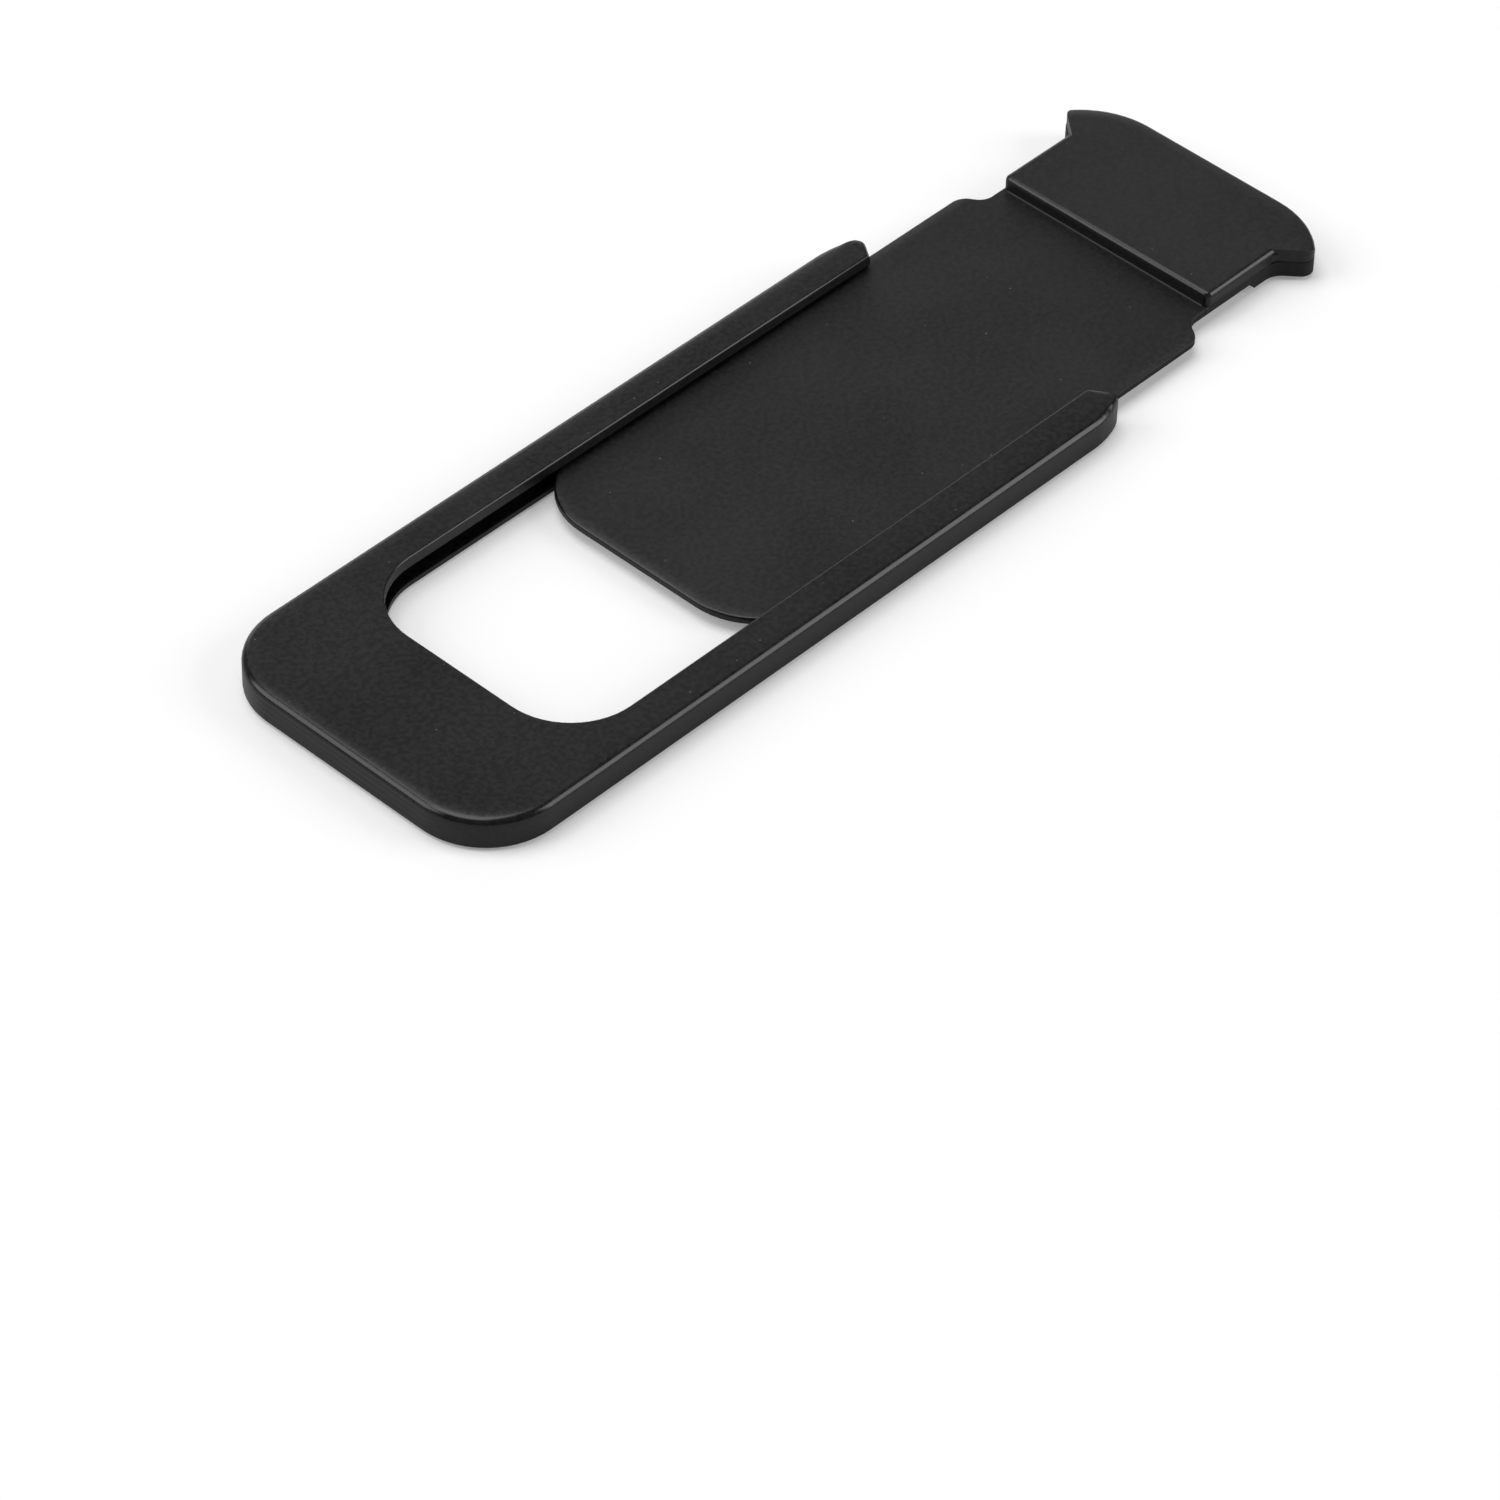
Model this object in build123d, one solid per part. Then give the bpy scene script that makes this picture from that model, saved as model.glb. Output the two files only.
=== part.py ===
from build123d import *
import math
import os

# Sliding cover for a built-in camera. Millimetres, +Z up, the stuck face at Z = 0.
# X runs from the bridge to the grip, and the origin is under the middle of the bridge.
# The shutter is drawn shut and then slid out by its travel, which is its resting place.

# Whole cover when shut
cover_length = 35.0
cover_width = 14.0
corner_radius = 3.15

# Frame: bridge, two rails and the window between them
frame_height = 1.31
bridge_length = 5.65
rail_width = 1.52
rail_wall = 0.82
window_corner_radius = 2.9
lower_lip = 0.21
lower_lip_reach = 0.05
frame_edge_radius = 0.27
lip_edge_radius = 0.09
lip_under_radius = 0.06
foot_edge_radius = 0.08
rail_end_slant = 18.0
rail_tip_radius = 0.35

# Shutter plate and the play it has in its groove
plate_thickness = 0.30
plate_corner_radius = 3.1
plate_edge_radius = 0.09
plate_tuck = 2.3
play_above = 0.11
play_below = 0.18
side_play = 0.18
tuck_gap = 0.08
travel = 11.2

# Shoulders, where the plate narrows to the grip
neck_length = 1.0
shoulder_run = 0.55
shoulder_radius = 0.7

# Grip and the ears that close the outline round the rail ends
grip_length = 6.4
grip_gap = 0.35
grip_corner_radius = 0.25
grip_end_radius = 3.7
grip_edge_radius = 0.22
grip_bead = 0.04
ear_length = 2.5
ear_slant = 40.0
ear_gap = 0.17
ear_root_radius = 0.5
ear_tip_radius = 0.5

# Foot block under the ears, below the parting line
foot_lead = 1.3
foot_clearance = 0.08
foot_root_radius = 0.9
foot_ramp = 0.2
parting_drop = 0.58
parting_step = 0.03

# Stop that keeps the shutter in the rails
lug_length = 1.2
lug_bite = 0.06
lug_play = 0.08
stop_length = 0.6
stop_gap = 0.05

# Adhesive and its liner
tape_thickness = 0.08
liner_thickness = 0.04
tape_inset = 0.30
liner_inset = 0.20

# Heights
tape_bottom = liner_thickness
frame_bottom = tape_bottom + tape_thickness
frame_top = frame_bottom + frame_height
groove_bottom = frame_bottom + lower_lip
plate_bottom = groove_bottom + play_below
plate_top = plate_bottom + plate_thickness
groove_top = plate_top + play_above
foot_bottom = frame_bottom + foot_clearance
parting_height = frame_top - parting_drop

# Half widths
cover_half = cover_width / 2
window_half = cover_half - rail_width
lower_window_half = window_half - lower_lip_reach
lower_window_radius = window_corner_radius - lower_lip_reach
groove_half = cover_half - rail_wall
plate_half = groove_half - side_play
lug_half = groove_half - lug_play
stop_half = lug_half - lug_bite
grip_half = window_half - grip_gap

# Stations along X, with the cover shut
bridge_end = -bridge_length / 2
window_start = bridge_length / 2
cover_end = bridge_end + cover_length
ear_root = cover_end - ear_length
rail_end = ear_root + grip_gap * math.tan(math.radians(ear_slant)) - ear_gap
grip_front = cover_end - grip_length
foot_start = ear_root - foot_lead
plate_front = window_start - plate_tuck
pocket_start = plate_front - tuck_gap
lug_start = plate_front + plate_corner_radius
lug_end = lug_start + lug_length
stop_start = lug_end + travel + stop_gap

# Cuts run this far past the faces they open
overrun = 1.0

# Points nearer than this count as one
same_place = 1e-4


def slab(plan, bottom, top):
    """A flat plan extruded between two heights."""
    return extrude(Pos(0, 0, bottom) * plan, top - bottom)


def span(start, end, half):
    """A rectangle symmetrical about X, from start to end."""
    return Pos((start + end) / 2, 0) * Rectangle(end - start, 2 * half)


def mirrored_outline(points):
    """A closed polygon from points on the +Y side, mirrored in the X axis."""
    return Polygon(*[(x, -y) for x, y in points], *reversed(points), align=None)


def corners_at(plan, points):
    """The plan's corners at the given points and at their mirror images."""
    both = [Vector(x, side * y) for x, y in points for side in (1, -1)]
    return [v for v in plan.vertices() for p in both if (v.center() - p).length < same_place]


def cover_outline(radius, inset=0.0):
    """Rounded rectangle of the whole shut cover, or one that lies inside it."""
    length = cover_length - 2 * inset
    middle = (bridge_end + cover_end) / 2
    return Pos(middle, 0) * RectangleRounded(length, cover_width - 2 * inset, radius - inset)


def window_plan(start, half, radius):
    """The window, rounded at the bridge and running out past the open end."""
    plan = span(start, cover_end + overrun, half)
    return fillet(corners_at(plan, [(start, half)]), radius)


def past_slant(start, half, slant):
    """Everything past a line that crosses straight to half and then slants outwards."""
    outside = cover_half + overrun
    slant_end = start + (outside - half) * math.tan(math.radians(slant))
    far = cover_end + overrun
    return mirrored_outline([(start, half), (slant_end, outside), (far, outside)])


def rail_blank(inset=0.0):
    """Outline of the frame without its window, with rounded rail tips."""
    plan = cover_outline(corner_radius, inset) - past_slant(rail_end - inset, window_half, rail_end_slant)
    tips = [v for v in plan.vertices() if v.X > rail_end and abs(v.Y) > groove_half]
    return fillet(tips, rail_tip_radius)


def edges_at(solid, height):
    """The edges that lie flat at one height."""
    return [e for e in solid.edges() if abs(e.bounding_box().min.Z - height) < same_place
            and abs(e.bounding_box().max.Z - height) < same_place]


def window_edges(solid, height):
    """The edges that lie along the upper window's outline at one height."""
    return [e for e in edges_at(solid, height) if e.center().X > window_start - same_place
            and abs(e.center().Y) < window_half + same_place]


def window_cutter():
    """Space of the window above the lower lip, with the upper lip's edge rounded over."""
    field = span(bridge_end, cover_end + overrun / 2, cover_half + overrun)
    block = slab(field, groove_bottom, frame_top)
    window = window_plan(window_start, window_half, window_corner_radius)
    sheet = block - slab(window, groove_bottom, frame_top)
    return block - fillet(window_edges(sheet, frame_top), lip_edge_radius)


def make_frame():
    """Bridge and rails with the window, the groove, the pocket under the bridge and the stops."""
    body = slab(rail_blank(), frame_bottom, frame_top)
    body = fillet(edges_at(body, frame_top), frame_edge_radius)
    body = fillet(edges_at(body, frame_bottom), foot_edge_radius)

    body -= window_cutter()
    lower_window = window_plan(window_start + lower_lip_reach, lower_window_half, lower_window_radius)
    body -= slab(lower_window, frame_bottom - overrun, groove_top)

    pocket = span(pocket_start, cover_end + overrun, groove_half)
    pocket = fillet(corners_at(pocket, [(pocket_start, groove_half)]), plate_corner_radius)
    for side in (1, -1):
        middle = (stop_half + groove_half + overrun) / 2
        stop = Pos(stop_start + stop_length / 2, side * middle)
        pocket -= stop * Rectangle(stop_length, groove_half + overrun - stop_half)
    body -= slab(pocket, groove_bottom, groove_top)
    return fillet(window_edges(body, groove_top), lip_under_radius)


def make_plate():
    """Thin plate with rounded leading corners, stop lugs and S-shaped shoulders."""
    neck_start = grip_front - neck_length
    shoulder = neck_start - shoulder_run
    neck_end = grip_front + grip_edge_radius + plate_thickness
    leading = (plate_front, plate_half)
    bends = [(shoulder, plate_half), (neck_start, grip_half)]
    plan = mirrored_outline([leading, *bends, (neck_end, grip_half)])
    plan = fillet(corners_at(plan, bends), shoulder_radius)
    plan = fillet(corners_at(plan, [leading]), plate_corner_radius)
    plate = slab(plan, plate_bottom, plate_top)
    plate = fillet(edges_at(plate, plate_top), plate_edge_radius)
    return plate + slab(span(lug_start, lug_end, lug_half), plate_bottom, plate_top - plate_edge_radius)


def ear_face(root, y):
    """X of the ears' inner faces at a distance from the middle."""
    return root + (y - grip_half) * math.tan(math.radians(ear_slant))


def grip_plan(front, root):
    """Plan of the grip from its front to the cover's end, with sharp ears beside it."""
    outside = cover_half + overrun
    far = cover_end + overrun
    bend = (root, grip_half)
    reach = mirrored_outline([(front, grip_half), bend, (ear_face(root, outside), outside), (far, outside)])
    return cover_outline(grip_end_radius) & reach


def round_ears(plan, root, root_radius):
    """The grip's plan with its ears rounded at their tips and roots."""
    tips = [v for v in plan.vertices() if v.X > root + same_place and abs(v.Y) > window_half
            and abs(v.X - ear_face(root, abs(v.Y))) < same_place]
    plan = fillet(tips, ear_tip_radius)
    return fillet(corners_at(plan, [(root, grip_half)]), root_radius)


def make_grip():
    """Raised grip. Its rim is rounded over, apart from the ears' inner faces."""
    sharp = grip_plan(grip_front, ear_root)
    sharp = fillet(corners_at(sharp, [(grip_front, grip_half)]), grip_corner_radius)
    shaped = round_ears(sharp, ear_root, ear_root_radius)
    grip = slab(sharp, plate_bottom, frame_top)
    rim = [e for e in edges_at(grip, frame_top) if abs(e.center().Y) < grip_half + same_place
           or abs(e.center().X - ear_face(ear_root, abs(e.center().Y))) > same_place]
    grip = fillet(rim, grip_edge_radius) - slab(sharp - shaped, plate_bottom, frame_top)
    return grip + slab(shaped - sharp, plate_bottom, frame_top - grip_edge_radius)


def foot_of_grip():
    """Narrow slope that fills the corner between the plate and the grip's front."""
    corner = Polygon((grip_front - grip_bead, plate_top), (grip_front, plate_top + grip_bead),
                     (grip_front + grip_bead, plate_top - grip_bead), align=None)
    return extrude(Plane.XZ * corner, grip_half - grip_corner_radius, both=True)


def make_foot():
    """Block under the grip, below the parting line, with a sloped heel."""
    root = ear_root - parting_step
    plan = round_ears(grip_plan(foot_start, root), root, foot_root_radius)
    foot = slab(plan, foot_bottom, parting_height)
    heel = [e for e in edges_at(foot, foot_bottom) if abs(e.center().X - foot_start) < same_place]
    return chamfer(heel, foot_ramp)


def make_shutter():
    """Plate, grip and foot block in one moulding, slid out to the open position."""
    return Pos(travel, 0, 0) * (make_plate() + make_grip() + foot_of_grip() + make_foot())


def horseshoe(inset, bottom, top):
    """Flat U under the frame, inset from the frame's outer and inner edges alike."""
    plan = rail_blank(inset)
    start = window_start + lower_lip_reach - inset
    plan -= window_plan(start, lower_window_half + inset, lower_window_radius + inset)
    return slab(plan, bottom, top)


solids = {
    "frame": make_frame(),
    "shutter": make_shutter(),
    "adhesive_tape": horseshoe(tape_inset, tape_bottom, frame_bottom),
    "release_liner": horseshoe(liner_inset, 0.0, tape_bottom),
}

os.makedirs("parts", exist_ok=True)
for name, solid in solids.items():
    export_step(solid, f"parts/{name}.step")
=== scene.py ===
import math
from collections import namedtuple

import bmesh
import bpy
from mathutils import Matrix, Vector


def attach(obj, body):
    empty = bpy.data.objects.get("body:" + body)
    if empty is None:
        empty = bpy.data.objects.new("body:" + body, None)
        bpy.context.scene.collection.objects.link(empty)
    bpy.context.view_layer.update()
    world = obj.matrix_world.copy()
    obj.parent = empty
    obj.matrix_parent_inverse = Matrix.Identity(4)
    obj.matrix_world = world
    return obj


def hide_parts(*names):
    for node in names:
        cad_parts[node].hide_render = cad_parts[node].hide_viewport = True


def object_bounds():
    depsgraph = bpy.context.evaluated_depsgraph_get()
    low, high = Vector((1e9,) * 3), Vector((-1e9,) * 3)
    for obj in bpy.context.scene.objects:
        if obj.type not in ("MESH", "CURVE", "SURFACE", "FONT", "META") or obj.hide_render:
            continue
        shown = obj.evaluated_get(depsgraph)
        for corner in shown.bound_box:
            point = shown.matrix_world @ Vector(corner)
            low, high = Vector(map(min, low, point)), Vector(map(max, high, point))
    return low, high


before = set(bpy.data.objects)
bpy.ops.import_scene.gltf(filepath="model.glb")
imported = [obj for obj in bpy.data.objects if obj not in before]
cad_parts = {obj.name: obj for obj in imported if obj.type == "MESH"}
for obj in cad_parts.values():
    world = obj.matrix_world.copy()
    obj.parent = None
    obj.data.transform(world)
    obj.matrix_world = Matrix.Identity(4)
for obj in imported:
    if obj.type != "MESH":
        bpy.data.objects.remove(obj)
cad_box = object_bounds()

# A stick-on slide cover in black moulded plastic, lying open on a white table.
# The scene is in metres. Sizes named here, and those inside the finishes, are in millimetres
# in the cover's own frame with the shutter open, unless a comment says otherwise.
MM = 0.001

# Upright part of a surface's direction: where tops set in and are level, where rounded edges set in,
# and where walls end
LEVEL_TOP = 0.85, 0.98
EDGE_START = 0.05, 0.35
WALL_END = 0.0, 0.3

# Black plastic's relief
SWELL_DEPTH = 0.0012
SCUFF_DEPTH = 0.0006
LINE_DEPTH = 0.003
LINE_SPACING = 0.27

# Black plastic's gloss: roughness of its rounded edges, what its walls have more, and its unevenness
EDGE_ROUGHNESS = 0.18
WALL_ROUGHNESS = 0.15
UNEVEN_ROUGHNESS = 0.04
SPECULAR_LEVEL = 0.4

# Black plastic's tones, as multiples of its own tone, and the share that the grain has in them. The
# lightest is what rubbed edges, scuffs and the plate margin's painted sheen lighten the plastic towards
DARK_GRAIN = 0.2
LIGHT_GRAIN = 1.8
RUBBED_AND_SHEEN_TONE = 4
GRAIN_IN_TONE = 0.7

# Marks of use and painted sheen: how far rubbed edges and scuffs lighten the plastic, the grain's share in
# the plate's lighter margin, which is painted sheen together with rubbing, and the dust's own tone
MARK_STRENGTH = 0.2
GRAIN_IN_WEAR_AND_SHEEN = 0.6
DUST_TONE = 0.1

# Noise levels where grain, slow drift, rubbed edges and patches of cutter lines set in and are full
GRAIN_RANGE = 0.33, 0.67
DRIFT_RANGE = 0.3, 0.7
RUBBED_RANGE = 0.35, 0.65
LINED_RANGE = 0.35, 0.6

# Scattered spots: their solid core as a share of their radius, and the blur of the lot that picks them
SPOT_CORE = 0.3
LOT_BLUR = 0.02

# Stations along X where the bridge's end wall sets in and where the plate gives way to the grip
BRIDGE_WALL = -2.70, -2.80
GRIP_START = 36.5, 37.0

# Lighter margin of the plate: painted sheen of its rolled edge, together with rubbing
MARGIN_WIDTH = 0.6

# Cut sides of the plate's bare end: their start and end along X, their place aside,
# and their added roughness
BARE_START = 27.0, 28.0
BARE_END = 37.0, 36.9
BARE_SIDES = 4.8, 5.1
BARE_ROUGHNESS = 0.4

# Corner at the grip's foot: its start along X, its upper end, and its added roughness
FOOT_START = 36.85, 36.93
FOOT_TOP = 0.90, 0.86
FOOT_ROUGHNESS = 0.3

# Adhesive and liner: tones and relief
ADHESIVE_TONES = (0.56, 0.54, 0.48, 1), (0.66, 0.64, 0.58, 1)
CLOUD_DEPTH = 0.01
LINER_TONES = (0.74, 0.73, 0.69, 1), (0.82, 0.81, 0.78, 1)
ROLLING_DEPTH = 0.004

# Tops that roll off towards two rounded corners and the sides behind them: a top's height, its corners'
# centres along X and aside, their radius, the way along X that they face, and how wide the rounded edge
# and the whole roll are
Crown = namedtuple("Crown", "top along aside radius facing edge width")
FRAME_CROWN = Crown(top=1.43, along=0.325, aside=3.85, radius=3.15, facing=-1, edge=0.27, width=0.72)
PLATE_CROWN = Crown(top=0.81, along=14.83, aside=2.9, radius=3.1, facing=-1, edge=0.09, width=0.5)
GRIP_CROWN = Crown(top=1.43, along=39.675, aside=3.3, radius=3.7, facing=1, edge=0.22, width=0.72)

# The rolls' curvature, and the spacing of the cuts that let a top bend
ROLL_CURVE = 0.36
ROLL_SPACING = 0.12

# Rail tips: their corner's radius, their end's slant in degrees, their nose's radius, and where their end
# meets the rail's inner edge, as drawn in the CAD and as seen in the photograph
Tip = namedtuple("Tip", "corner_radius slant nose_radius end")
DRAWN_TIP = Tip(corner_radius=3.15, slant=18.0, nose_radius=0.35, end=29.799)
SEEN_TIP = Tip(corner_radius=3.62, slant=34.5, nose_radius=0.34, end=29.886)

# The hub on the rail's inner edge that a tip is measured from, and the shut cover's end and half width
TIP_HUB = Vector((26.0, 5.48))
COVER_END = 32.175
COVER_HALF = 7.0

# Cuts that part a tip into wedges: the first one's angle and the step between them, in degrees,
# and their number
FIRST_CUT = 8.0
CUT_STEP = 1.2
CUT_COUNT = 21

# The angle in degrees past which an edge is sharp
SHARP_EDGE = 35.0

# Points nearer than this count as one, in metres
SAME_PLACE = 2e-7

# The photograph's view: width and focal length in pixels, angles in degrees, aim and distance
PICTURE_WIDTH = 1500
FOCAL_LENGTH = 6500
SENSOR_WIDTH = 36.0
VIEW_AZIMUTH = -47.584
VIEW_ELEVATION = 43.196
VIEW_ROLL = 1.580
AIM_RIGHT = -12.099
AIM_DOWN = -0.382
VIEW_DISTANCE = 226.156
CLIP_START = 10.0

# White table: its width in metres, the tone it lights the cover with, and what the camera sees of it,
# with a share of glow, which reflections see in part
TABLE_WIDTH = 30.0
TABLE_COLOUR = 0.35
TABLE_SEEN = 1.0
TABLE_GLOW = 0.22
TABLE_MIRRORED = 0.38

# Studio: an even room, and lamps at one distance in metres. Each lamp's name, its azimuth and elevation
# in degrees as seen from the cover, its width and height in metres and its brightness
ROOM_LEVEL = 0.15
LAMP_DISTANCE = 1.2
LAMPS = [
    ("overhead", 105, 78, 0.85, 0.85, 3.5),
    ("back_panel", 42, 43, 1.5, 1.5, 0.20),
    ("far_sweep", 56, 12, 1.0, 0.45, 1.1),
    ("left_softbox", 136, 33, 0.8, 0.8, 3.0),
    ("right_softbox", -50, 21, 0.6, 0.92, 3.8),
]


class Signal:
    """A socket's value in a finish. Arithmetic on it adds Math nodes to the finish."""

    def __init__(self, finish, socket):
        self.finish = finish
        self.socket = socket

    def maths(self, operation, first, second):
        return self.finish.node("ShaderNodeMath", {"operation": operation}, {0: first, 1: second})

    def __add__(self, other):
        return self.maths("ADD", self, other)

    def __radd__(self, other):
        return self.maths("ADD", other, self)

    def __sub__(self, other):
        return self.maths("SUBTRACT", self, other)

    def __rsub__(self, other):
        return self.maths("SUBTRACT", other, self)

    def __mul__(self, other):
        return self.maths("MULTIPLY", self, other)

    def sine(self):
        return self.maths("SINE", self, 0.0)

    def size(self):
        return self.maths("ABSOLUTE", self, 0.0)

    def at_least(self, least):
        return self.maths("MAXIMUM", self, least)

    def fade(self, start, end):
        """0 before start and 1 past end, with a smooth run between. Start may be the larger."""
        settings = {"interpolation_type": "SMOOTHSTEP"}
        return self.finish.node("ShaderNodeMapRange", settings, {"Value": self, 1: start, 2: end})


class Finish:
    """A material and the nodes it is made of."""

    def __init__(self, name):
        self.material = bpy.data.materials.new(name)
        self.material.use_nodes = True
        self.tree = self.material.node_tree
        self.tree.nodes.clear()

    def node(self, kind, settings=None, values=None, output=0):
        """Adds a node: its settings first, then its sockets' values or links. Returns one output."""
        made = self.tree.nodes.new(kind)
        for name, setting in (settings or {}).items():
            setattr(made, name, setting)
        for name, value in (values or {}).items():
            if isinstance(value, Signal):
                self.tree.links.new(value.socket, made.inputs[name])
            else:
                made.inputs[name].default_value = value
        return Signal(self, made.outputs[output]) if made.outputs else None

    def place(self):
        """The point on the piece, in millimetres in the cover's own frame."""
        metres = self.node("ShaderNodeTexCoord", output="Object")
        return self.node("ShaderNodeVectorMath", {"operation": "SCALE"}, {0: metres, "Scale": 1 / MM})

    def axis(self, place, letter):
        return self.node("ShaderNodeSeparateXYZ", None, {0: place}, letter)

    def stretched(self, place, turn, stretch):
        """The place turned about Z by an angle in degrees, then stretched along each axis."""
        values = {"Vector": place, "Rotation": (0, 0, math.radians(turn)), "Scale": stretch}
        return self.node("ShaderNodeMapping", {"vector_type": "POINT"}, values)

    def noise(self, place, per_mm, detail=2.0):
        return self.node("ShaderNodeTexNoise", None, {"Vector": place, "Scale": per_mm, "Detail": detail})

    def scattered(self, place, per_mm, radius, share):
        """Spots of uneven strength, one in a share of the cells seen from above. Radius in cell widths."""
        cells = {"voronoi_dimensions": "2D"}, {"Vector": place, "Scale": per_mm}
        spots = self.node("ShaderNodeTexVoronoi", *cells, "Distance").fade(radius, radius * SPOT_CORE)
        lot = self.node("ShaderNodeTexVoronoi", *cells, "Color")
        return spots * self.axis(lot, "X").fade(share + LOT_BLUR, share) * self.axis(lot, "Y")

    def steepness(self):
        """The upright part of the surface's direction: 1 on level tops, 0 on walls."""
        return self.axis(self.node("ShaderNodeNewGeometry", output="Normal"), "Z")

    def mix(self, share, first, second):
        """A colour that goes from the first to the second as the share goes from 0 to 1."""
        # The node has sockets for other kinds of value before those for colours
        values = {0: share, 6: first, 7: second}
        return self.node("ShaderNodeMix", {"data_type": "RGBA"}, values, output=2)

    def bump(self, height):
        """Normals for a height in millimetres."""
        return self.node("ShaderNodeBump", None, {"Height": height, "Strength": 1.0, "Distance": MM})

    def surface(self, shader):
        self.node("ShaderNodeOutputMaterial", None, {"Surface": shader})
        return self.material


def grey(level):
    return (level, level, level, 1)


def black_plastic(name, tone, top_roughness, lined, sheened_and_worn, dull):
    """Black moulded plastic: grained tops, smooth walls, rubbed edges, dust and hairline scuffs.

    Three functions say where its walls have cutter lines, where its tops get a lighter margin of painted
    sheen and rubbing, and where it is duller.
    """
    finish = Finish(name)
    place = finish.place()
    upright = finish.steepness()
    level = upright.fade(*LEVEL_TOP)
    wall = 1 - upright.fade(*WALL_END)
    edge = upright.fade(*EDGE_START) * (1 - level)

    grain = finish.noise(place, per_mm=5.0).fade(*GRAIN_RANGE)
    swell = finish.noise(place, per_mm=1.8)
    drift = finish.noise(place, per_mm=0.22, detail=3.0).fade(*DRIFT_RANGE)
    rubbed = edge * finish.noise(place, per_mm=1.3, detail=3.0).fade(*RUBBED_RANGE)
    dust = level * finish.scattered(place, per_mm=0.8, radius=0.04, share=0.14)
    strokes = finish.stretched(place, turn=24, stretch=(0.4, 9.0, 1.0))
    scuffs = level * finish.scattered(strokes, per_mm=0.5, radius=0.16, share=0.08)
    lines = wall * level_lines(finish, place) * lined(finish, place)
    # Lighter tops along the plate's margin: painted sheen of the rolled edge, together with rubbing
    wear_and_sheen = level * sheened_and_worn(finish, place) * ((1 - GRAIN_IN_WEAR_AND_SHEEN) + grain * GRAIN_IN_WEAR_AND_SHEEN)

    lightness = grain * GRAIN_IN_TONE + drift * (1 - GRAIN_IN_TONE)
    body = finish.mix(lightness, grey(tone * DARK_GRAIN), grey(tone * LIGHT_GRAIN))
    # Rubbed edges and scuffs, and the painted sheen on the plate's margin, all lighten the plastic
    marks_and_sheen = rubbed * MARK_STRENGTH + scuffs * MARK_STRENGTH + wear_and_sheen
    handled_and_sheened = finish.mix(marks_and_sheen, body, grey(tone * RUBBED_AND_SHEEN_TONE))
    height = level * swell * SWELL_DEPTH + scuffs * SCUFF_DEPTH + lines * LINE_DEPTH
    roughness = level * (top_roughness - EDGE_ROUGHNESS) + wall * WALL_ROUGHNESS + EDGE_ROUGHNESS
    roughness += dull(finish, place, 1 - level)
    shader = finish.node("ShaderNodeBsdfPrincipled", None, {
        "Base Color": finish.mix(dust, handled_and_sheened, grey(DUST_TONE)),
        "Roughness": roughness + drift * UNEVEN_ROUGHNESS + grain * UNEVEN_ROUGHNESS,
        "Specular IOR Level": SPECULAR_LEVEL,
        "Normal": finish.bump(height),
    })
    return finish.surface(shader)


def level_lines(finish, place):
    """Fine level lines, uneven in strength, as the mould's cutter leaves them on a wall."""
    phase = finish.axis(place, "Z") * (2 * math.pi / LINE_SPACING)
    patches = finish.noise(finish.stretched(place, turn=0, stretch=(0.3, 0.3, 2.0)), per_mm=1.0)
    return phase.sine() * patches.fade(*LINED_RANGE)


def on_bridge_end(finish, place):
    return finish.axis(place, "X").fade(*BRIDGE_WALL)


def on_grip(finish, place):
    return finish.axis(place, "X").fade(*GRIP_START)


def nowhere(finish, place, steep=0):
    """For a plastic without such a place."""
    return 0


def plate_margin_sheen_and_wear(finish, place):
    """The lighter margin inside the plate's rounded leading edge and its sides, which run in the grooves:
    painted sheen of the rolled edge, together with rubbing.
    """
    ahead = (PLATE_CROWN.along - finish.axis(place, "X")).at_least(0)
    aside = (finish.axis(place, "Y").size() - PLATE_CROWN.aside).at_least(0)
    reach = finish.node("ShaderNodeCombineXYZ", None, {"X": ahead, "Y": aside})
    from_centre = finish.node("ShaderNodeVectorMath", {"operation": "LENGTH"}, {0: reach}, "Value")
    margin = from_centre.fade(PLATE_CROWN.radius - MARGIN_WIDTH, PLATE_CROWN.radius)
    return margin * (1 - on_grip(finish, place))


def plate_rim(finish, place, steep):
    """Added roughness of the plate's cut sides and of the corner at the grip's foot."""
    along, across = finish.axis(place, "X"), finish.axis(place, "Y").size()
    sides = steep * across.fade(*BARE_SIDES) * along.fade(*BARE_START) * along.fade(*BARE_END)
    corner = along.fade(*FOOT_START) * finish.axis(place, "Z").fade(*FOOT_TOP)
    return sides * BARE_ROUGHNESS + corner * FOOT_ROUGHNESS


def adhesive_film():
    """Soft acrylic adhesive, a little cloudy."""
    finish = Finish("acrylic_adhesive")
    cloud = finish.noise(finish.place(), per_mm=1.6, detail=3.0)
    shader = finish.node("ShaderNodeBsdfPrincipled", None, {
        "Base Color": finish.mix(cloud, *ADHESIVE_TONES),
        "Roughness": 0.45 + cloud * 0.2,
        "Normal": finish.bump(cloud * CLOUD_DEPTH),
    })
    return finish.surface(shader)


def liner_film():
    """Smooth pale release film with faint rolling marks along its length."""
    finish = Finish("release_film")
    lengthwise = finish.stretched(finish.place(), turn=0, stretch=(0.15, 3.0, 1.0))
    rolled = finish.noise(lengthwise, per_mm=1.0, detail=3.0)
    shader = finish.node("ShaderNodeBsdfPrincipled", None, {
        "Base Color": finish.mix(rolled, *LINER_TONES),
        "Roughness": 0.28 + rolled * 0.12,
        "Normal": finish.bump(rolled * ROLLING_DEPTH),
    })
    return finish.surface(shader)


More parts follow.
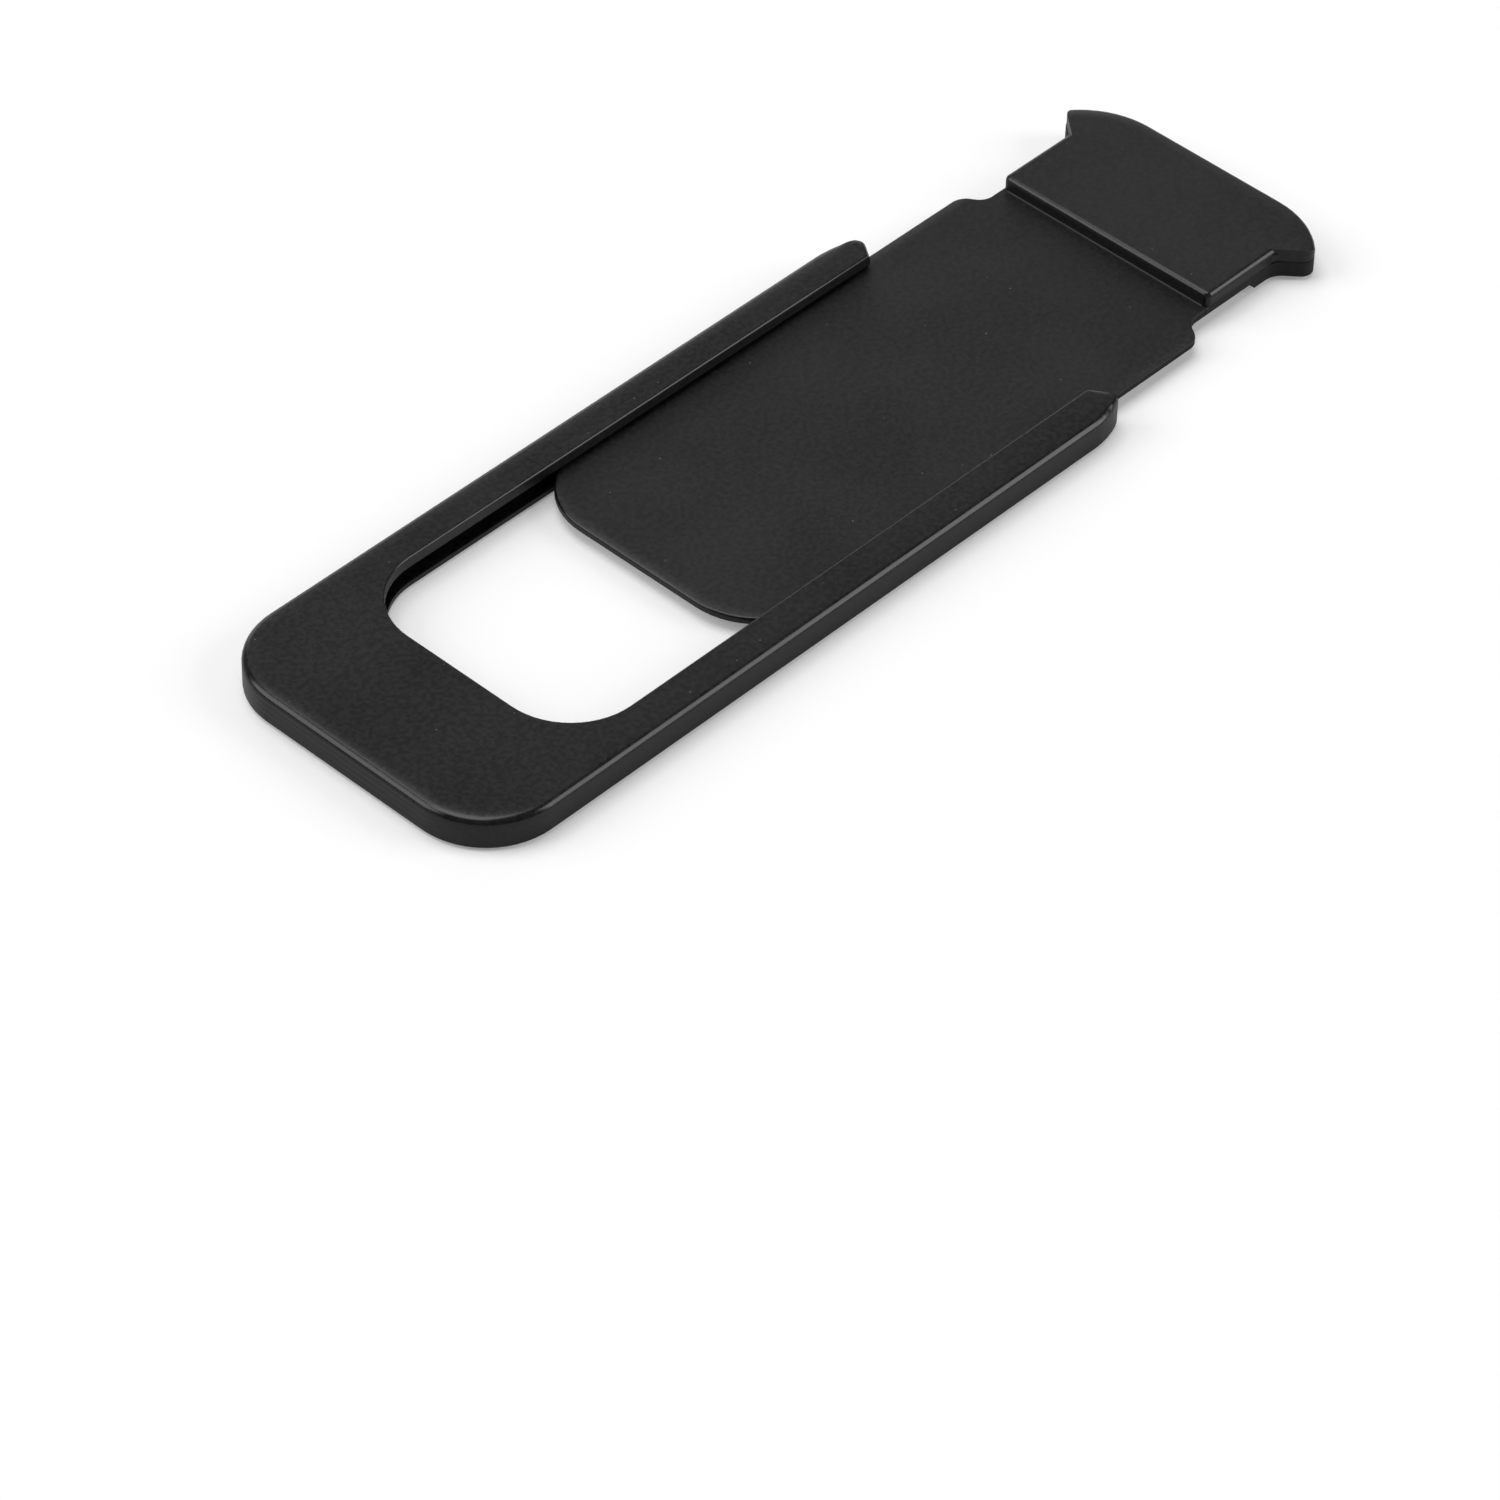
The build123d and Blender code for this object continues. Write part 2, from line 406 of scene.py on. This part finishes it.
def table_top():
    """White table. The camera and reflections see it brighter than the light it throws back."""
    finish = Finish("white_table")
    rays = {"output": "Is Camera Ray"}, {"output": "Is Glossy Ray"}, {"output": "Is Transmission Ray"}
    camera, glossy, through = (finish.node("ShaderNodeLightPath", **ray) for ray in rays)
    plain = finish.node("ShaderNodeBsdfDiffuse", None, {"Color": grey(TABLE_COLOUR)})
    white = finish.node("ShaderNodeBsdfDiffuse", None, {"Color": grey(TABLE_SEEN)})
    glow = finish.node("ShaderNodeEmission", None, {"Color": grey(1.0), "Strength": 1.0})
    bright = finish.node("ShaderNodeMixShader", None, {0: TABLE_GLOW, 1: white, 2: glow})
    seen = {0: camera + (glossy + through) * TABLE_MIRRORED, 1: plain, 2: bright}
    return finish.surface(finish.node("ShaderNodeMixShader", None, seen))


def cut(mesh, faces, place, across):
    """Parts some faces of a mesh by a plane, given by a point on it and its direction."""
    parts = {part for f in faces for part in (f, *f.edges, *f.verts)}
    bmesh.ops.bisect_plane(mesh, geom=list(parts), dist=SAME_PLACE, plane_co=place, plane_no=across)


def roll_cuts(crown):
    """Points and directions of the planes that part a top within its corners."""
    for step in range(1, int((crown.radius - crown.edge) / ROLL_SPACING) + 1):
        reach = crown.radius - crown.edge - step * ROLL_SPACING
        yield Vector((crown.along + crown.facing * reach, 0, 0)) * MM, Vector((1, 0, 0))
        yield Vector((0, crown.aside + reach, 0)) * MM, Vector((0, 1, 0))
        yield Vector((0, -crown.aside - reach, 0)) * MM, Vector((0, 1, 0))


def rolled_off(crown, along, aside):
    """Height that a top loses at a place, in millimetres. The slope fades out on the rounded edge."""
    ahead = max(0.0, (along - crown.along) * crown.facing)
    inset = crown.radius - math.hypot(ahead, max(0.0, abs(aside) - crown.aside))
    rolled, on_edge = max(0.0, crown.width - inset), max(0.0, crown.edge - inset)
    return (rolled ** 2 - on_edge ** 2 * crown.width / crown.edge) * ROLL_CURVE / 2


def roll_top(mesh, crown):
    """Bends a top softly down towards its outline."""
    top, foot = crown.top * MM, (crown.top - crown.edge) * MM
    for place, across in roll_cuts(crown):
        faces = [f for f in mesh.faces if all(abs(v.co.z - top) < SAME_PLACE for v in f.verts)]
        cut(mesh, faces, place, across)
    for vertex in mesh.verts:
        if foot - SAME_PLACE < vertex.co.z < top + SAME_PLACE:
            vertex.co.z -= rolled_off(crown, vertex.co.x / MM, vertex.co.y / MM) * MM


def far_side(ray, centre, radius):
    """Distance along a ray from the hub to the far side of a circle."""
    along = ray.dot(centre)
    return along + math.sqrt(along ** 2 - centre.length_squared + radius ** 2)


def tip_reach(angle, tip):
    """Distance from the hub to a rail tip's outline, at an angle from the rail's inner edge."""
    ray = Vector((math.cos(angle), math.sin(angle)))
    lean = math.radians(tip.slant)
    face, outwards = Vector((math.cos(lean), -math.sin(lean))), Vector((math.sin(lean), math.cos(lean)))
    face_reach = (tip.end - TIP_HUB.x) * face.x
    side_reach = COVER_HALF - TIP_HUB.y

    corner = Vector((COVER_END - tip.corner_radius, COVER_HALF - tip.corner_radius)) - TIP_HUB
    inside = tip.corner_radius - tip.nose_radius
    ahead = face_reach - tip.nose_radius - corner.dot(face)
    nose = corner + face * ahead + outwards * math.sqrt(inside ** 2 - ahead ** 2)
    nose_start = nose + face * tip.nose_radius
    nose_end = corner + (nose - corner) * (tip.corner_radius / inside)

    if angle < math.atan2(nose_start.y, nose_start.x):
        return face_reach / ray.dot(face)
    if angle < math.atan2(nose_end.y, nose_end.x):
        return far_side(ray, nose, tip.nose_radius)
    if angle < math.atan2(side_reach, corner.x):
        return far_side(ray, corner, tip.corner_radius)
    return side_reach / ray.y


def cut_wedges(mesh, side):
    """Cuts a rail's end by upright planes that fan out from its hub."""
    hub = Vector((TIP_HUB.x, side * TIP_HUB.y, 0)) * MM
    for step in range(CUT_COUNT):
        angle = math.radians(FIRST_CUT + CUT_STEP * step)
        across = Vector((-math.sin(angle), side * math.cos(angle), 0))
        faces = [f for f in mesh.faces if any(v.co.x > hub.x and v.co.y * side > 0 for v in f.verts)]
        cut(mesh, faces, hub, across)


def shape_tips(mesh):
    """Moves both rail tips from the drawn outline to the one in the photograph."""
    cut_wedges(mesh, 1)
    cut_wedges(mesh, -1)
    for vertex in mesh.verts:
        place = Vector((vertex.co.x, abs(vertex.co.y))) / MM - TIP_HUB
        if place.x > 0:
            angle = max(0.0, math.atan2(place.y, place.x))
            place *= tip_reach(angle, SEEN_TIP) / tip_reach(angle, DRAWN_TIP)
            along, aside = (place + TIP_HUB) * MM
            vertex.co.xy = along, math.copysign(aside, vertex.co.y)


def welded_copy(node):
    """A copy of a CAD node's mesh to shape further, with its faces joined."""
    mesh = bmesh.new()
    mesh.from_mesh(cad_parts[node].data)
    bmesh.ops.remove_doubles(mesh, verts=mesh.verts, dist=SAME_PLACE)
    return mesh


def moulding(node, mesh):
    """The piece with the shaped mesh, which stands for the CAD node."""
    bmesh.ops.triangulate(mesh, faces=mesh.faces)
    bmesh.ops.dissolve_degenerate(mesh, edges=mesh.edges, dist=SAME_PLACE)
    for face in mesh.faces:
        face.smooth = True
    for edge in mesh.edges:
        edge.smooth = edge.calc_face_angle(0.0) < math.radians(SHARP_EDGE)

    data = bpy.data.meshes.new(node + "_moulding")
    mesh.to_mesh(data)
    mesh.free()
    # Normals that came with the CAD's mesh don't fit the new shape
    if data.has_custom_normals:
        data.attributes.remove(data.attributes["custom_normal"])
    piece = bpy.data.objects.new(node + "_moulding", data)
    bpy.context.scene.collection.objects.link(piece)
    piece.modifiers.new("even_shading", "WEIGHTED_NORMAL").keep_sharp = True
    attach(piece, node)
    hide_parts(node)
    return piece


def moulded_frame():
    """The frame with its top rolled off and its tips reshaped."""
    mesh = welded_copy("frame")
    roll_top(mesh, FRAME_CROWN)
    shape_tips(mesh)
    return moulding("frame", mesh)


def moulded_shutter():
    """The shutter with the tops of its plate and its grip rolled off."""
    mesh = welded_copy("shutter")
    roll_top(mesh, PLATE_CROWN)
    roll_top(mesh, GRIP_CROWN)
    return moulding("shutter", mesh)


def dress(piece, material):
    """Gives a piece its finish."""
    piece.data.materials.clear()
    piece.data.materials.append(material)


def lay_table():
    """White table under the cover."""
    bpy.ops.mesh.primitive_plane_add(size=TABLE_WIDTH, location=(0, 0, cad_box[0].z))
    table = bpy.context.object
    table.name = "table"
    table.data.materials.append(table_top())


def direction(azimuth, elevation):
    """Unit vector towards a place seen from the cover: azimuth from +X towards +Y, in degrees."""
    a, e = math.radians(azimuth), math.radians(elevation)
    return Vector((math.cos(a) * math.cos(e), math.sin(a) * math.cos(e), math.sin(e)))


def softbox(name, azimuth, elevation, width, height, level):
    """Lamp facing the cover, whose face has the given size in metres and the given brightness."""
    lamp = bpy.data.lights.new(name, "AREA")
    lamp.shape = "RECTANGLE"
    lamp.size = width
    lamp.size_y = height
    lamp.energy = level * math.pi * width * height
    box = bpy.data.objects.new(name, lamp)
    bpy.context.scene.collection.objects.link(box)
    towards = direction(azimuth, elevation)
    box.location = (cad_box[0] + cad_box[1]) / 2 + LAMP_DISTANCE * towards
    box.rotation_euler = towards.to_track_quat("Z", "Y").to_euler()


def light_room():
    """Even room light and the lamps."""
    world = bpy.data.worlds.new("studio")
    world.use_nodes = True
    background = world.node_tree.nodes["Background"].inputs
    background["Color"].default_value = grey(1.0)
    background["Strength"].default_value = ROOM_LEVEL
    bpy.context.scene.world = world
    for lamp in LAMPS:
        softbox(*lamp)


def aim_camera():
    """Camera at the photograph's place and angle."""
    a, e, r = (math.radians(x) for x in (VIEW_AZIMUTH, VIEW_ELEVATION, VIEW_ROLL))
    level_right = Vector((math.cos(a), math.sin(a), 0))
    back = Vector((math.sin(a) * math.cos(e), -math.cos(a) * math.cos(e), math.sin(e)))
    level_up = back.cross(level_right)
    right = level_right * math.cos(r) + level_up * math.sin(r)
    up = level_up * math.cos(r) - level_right * math.sin(r)
    place = (back * VIEW_DISTANCE - right * AIM_RIGHT + up * AIM_DOWN) * MM

    lens = bpy.data.cameras.new("camera")
    lens.sensor_width = SENSOR_WIDTH
    lens.lens = FOCAL_LENGTH / PICTURE_WIDTH * SENSOR_WIDTH
    lens.clip_start = CLIP_START * MM
    camera = bpy.data.objects.new("camera", lens)
    bpy.context.scene.collection.objects.link(camera)
    axes = Matrix((right, up, back)).transposed().to_4x4()
    camera.matrix_world = Matrix.Translation(place) @ axes
    bpy.context.scene.camera = camera


frame_plastic = black_plastic(
    "frame_plastic", tone=0.0055, top_roughness=0.26, lined=on_bridge_end, sheened_and_worn=nowhere, dull=nowhere)
shutter_plastic = black_plastic(
    "shutter_plastic", tone=0.0045, top_roughness=0.34, lined=on_grip, sheened_and_worn=plate_margin_sheen_and_wear, dull=plate_rim)
dress(moulded_frame(), frame_plastic)
dress(moulded_shutter(), shutter_plastic)
dress(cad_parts["adhesive_tape"], adhesive_film())
dress(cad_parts["release_liner"], liner_film())

lay_table()
light_room()
aim_camera()
bpy.context.scene.view_settings.view_transform = "Standard"
